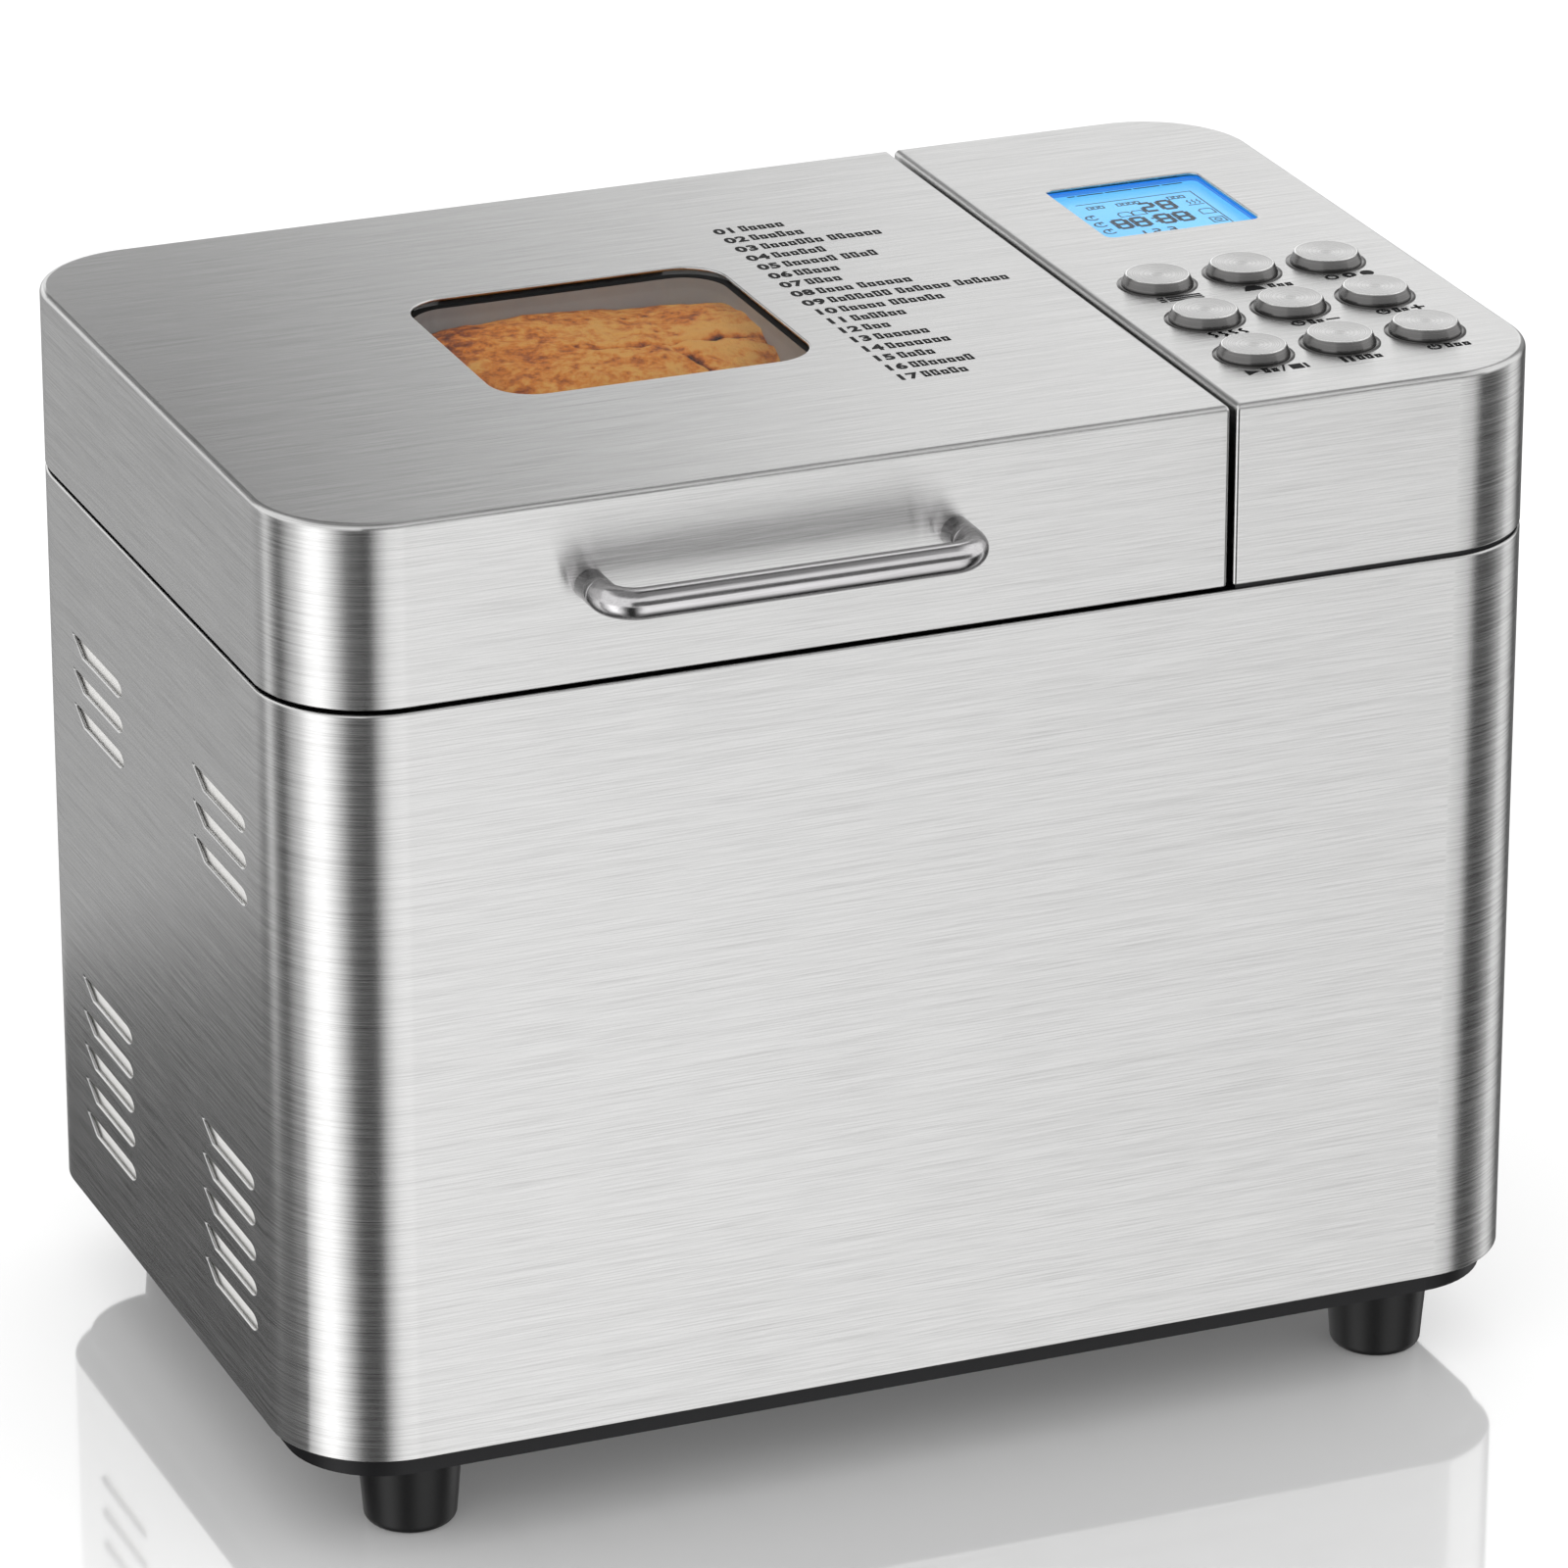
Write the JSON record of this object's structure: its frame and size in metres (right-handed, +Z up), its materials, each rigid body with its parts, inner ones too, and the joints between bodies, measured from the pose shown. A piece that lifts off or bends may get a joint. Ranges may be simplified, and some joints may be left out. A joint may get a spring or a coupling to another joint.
{
  "type": "bread machine",
  "caption": "Countertop bread maker: brushed steel box with a hinged window lid, round-button control panel with display, and a lift-out pan with kneading paddle inside.",
  "frame": {"origin": "on the surface it stands on, under the middle of the overall box", "axes": "+X to the right along the front, -Y to the front where the lid handle is, +Z up"},
  "size_m": [0.34, 0.253, 0.2807],
  "materials": {
    "wrap_steel": "brushed along the width, satin",
    "button_steel": "spun, concentric turning marks",
    "bar_steel": "polished bar with a soft satin",
    "sheet_steel": "galvanised sheet",
    "screw_steel": "plated steel",
    "black_plastic": "fine moulded texture, satin",
    "foot_rubber": "moulded, satin",
    "gasket_silicone": "soft silicone",
    "pale_plastic": "moulded, matt",
    "oven_steel": "aluminised sheet, dull",
    "element_sheath": "heat-stained sheath",
    "nonstick": "speckled non-stick coating",
    "bail_steel": "drawn wire",
    "cast_alloy": "die-cast, dull",
    "bronze": "sintered bearing bronze",
    "motor_steel": "zinc-plated, laminated",
    "board_green": "solder mask",
    "switch_plastic": "moulded",
    "winding": "taped copper winding in an iron core",
    "window_glass": "clear toughened glass",
    "display_clear": "clear acrylic",
    "display_blue": "back-lit blue display"
  },
  "bodies": {
    "root": {"base_tray": "black_plastic", "feet": "foot_rubber", "case_screws": "screw_steel", "chassis_plate": "sheet_steel", "body_shell": "wrap_steel", "rear_panel": "sheet_steel", "vent_baffles": "pale_plastic", "top_deck": "black_plastic", "cord_gland": "black_plastic", "oven_liner": "oven_steel", "heating_element": "element_sheath", "pan_socket": "cast_alloy", "temperature_sensor": "sheet_steel", "thermal_fuse": "pale_plastic", "drive_housing": "cast_alloy", "drive_bearings": "bronze", "drive_belt": "foot_rubber", "motor_case": "motor_steel", "motor_capacitor": "pale_plastic", "power_board": "board_green", "transformer": "winding", "ribbon_cable": "pale_plastic", "control_housing": "wrap_steel", "control_frame": "black_plastic", "control_board": "board_green", "tact_switches": "switch_plastic", "display_module": "display_blue", "display_lens": "display_clear", "hinge_brackets": "black_plastic", "hinge_pins": "screw_steel"},
    "lid": {"lid_shell": "wrap_steel", "lid_frame": "black_plastic", "lid_liner": "oven_steel", "lid_glass": "window_glass", "window_frame": "black_plastic", "lid_gasket": "gasket_silicone", "lid_handle": "bar_steel", "handle_screws": "screw_steel", "hinge_arms": "black_plastic"},
    "pan": {"bread_pan": "nonstick", "pan_foot": "cast_alloy", "pan_bushing": "bronze"},
    "bail": {"pan_handle": "bail_steel"},
    "paddle": {"paddle_shaft": "screw_steel", "pan_coupling": "cast_alloy", "kneading_paddle": "nonstick"},
    "drive": {"drive_shaft": "screw_steel", "drive_pulley": "black_plastic", "drive_coupling": "cast_alloy"},
    "rotor": {"motor_rotor": "motor_steel", "motor_pulley": "black_plastic"},
    "menu_key": {"menu_button": "button_steel"},
    "weight_key": {"weight_button": "button_steel"},
    "color_key": {"color_button": "button_steel"},
    "bake_key": {"bake_button": "button_steel"},
    "time_minus_key": {"time_minus_button": "button_steel"},
    "time_plus_key": {"time_plus_button": "button_steel"},
    "start_key": {"start_button": "button_steel"},
    "pause_key": {"pause_button": "button_steel"},
    "power_key": {"power_button": "button_steel"}
  },
  "joints": [
    {"name": "lid_hinge", "type": "hinge", "parent": "root", "child": "lid", "pos_m": [-0.046, 0.121, 0.2261], "axis": [-1, 0, 0], "range_deg": [0, 95]},
    {"name": "pan_twist", "type": "hinge", "parent": "root", "child": "pan", "pos_m": [-0.046, 0.0045, 0.084], "axis": [0, 0, 1], "range_deg": [0, 10]},
    {"name": "bail_swing", "type": "hinge", "parent": "pan", "child": "bail", "pos_m": [-0.046, 0.0045, 0.198], "axis": [-1, 0, 0], "range_deg": [0, 50]},
    {"name": "drive_spin", "type": "hinge", "parent": "root", "child": "drive", "pos_m": [-0.046, 0.0045, 0.05], "axis": [0, 0, 1], "continuous": true},
    {"name": "paddle_spin", "type": "hinge", "parent": "pan", "child": "paddle", "pos_m": [-0.046, 0.0045, 0.09], "axis": [0, 0, 1], "continuous": true},
    {"name": "motor_spin", "type": "hinge", "parent": "root", "child": "rotor", "pos_m": [0.112, 0.0045, 0.05], "axis": [0, 0, 1], "continuous": true},
    {"name": "menu_press", "type": "slide", "parent": "root", "child": "menu_key", "axis": [0, 0, -1], "range_m": [0, 0.001], "stiffness_N_per_m": 600, "springref_m": -0.0005},
    {"name": "weight_press", "type": "slide", "parent": "root", "child": "weight_key", "axis": [0, 0, -1], "range_m": [0, 0.001], "stiffness_N_per_m": 600, "springref_m": -0.0005},
    {"name": "color_press", "type": "slide", "parent": "root", "child": "color_key", "axis": [0, 0, -1], "range_m": [0, 0.001], "stiffness_N_per_m": 600, "springref_m": -0.0005},
    {"name": "bake_press", "type": "slide", "parent": "root", "child": "bake_key", "axis": [0, 0, -1], "range_m": [0, 0.001], "stiffness_N_per_m": 600, "springref_m": -0.0005},
    {"name": "time_minus_press", "type": "slide", "parent": "root", "child": "time_minus_key", "axis": [0, 0, -1], "range_m": [0, 0.001], "stiffness_N_per_m": 600, "springref_m": -0.0005},
    {"name": "time_plus_press", "type": "slide", "parent": "root", "child": "time_plus_key", "axis": [0, 0, -1], "range_m": [0, 0.001], "stiffness_N_per_m": 600, "springref_m": -0.0005},
    {"name": "start_press", "type": "slide", "parent": "root", "child": "start_key", "axis": [0, 0, -1], "range_m": [0, 0.001], "stiffness_N_per_m": 600, "springref_m": -0.0005},
    {"name": "pause_press", "type": "slide", "parent": "root", "child": "pause_key", "axis": [0, 0, -1], "range_m": [0, 0.001], "stiffness_N_per_m": 600, "springref_m": -0.0005},
    {"name": "power_press", "type": "slide", "parent": "root", "child": "power_key", "axis": [0, 0, -1], "range_m": [0, 0.001], "stiffness_N_per_m": 600, "springref_m": -0.0005}
  ],
  "couplings": [
    {"joint": "motor_spin", "follows": "drive_spin", "ratio": 6},
    {"joint": "paddle_spin", "follows": "drive_spin", "ratio": 1}
  ]
}
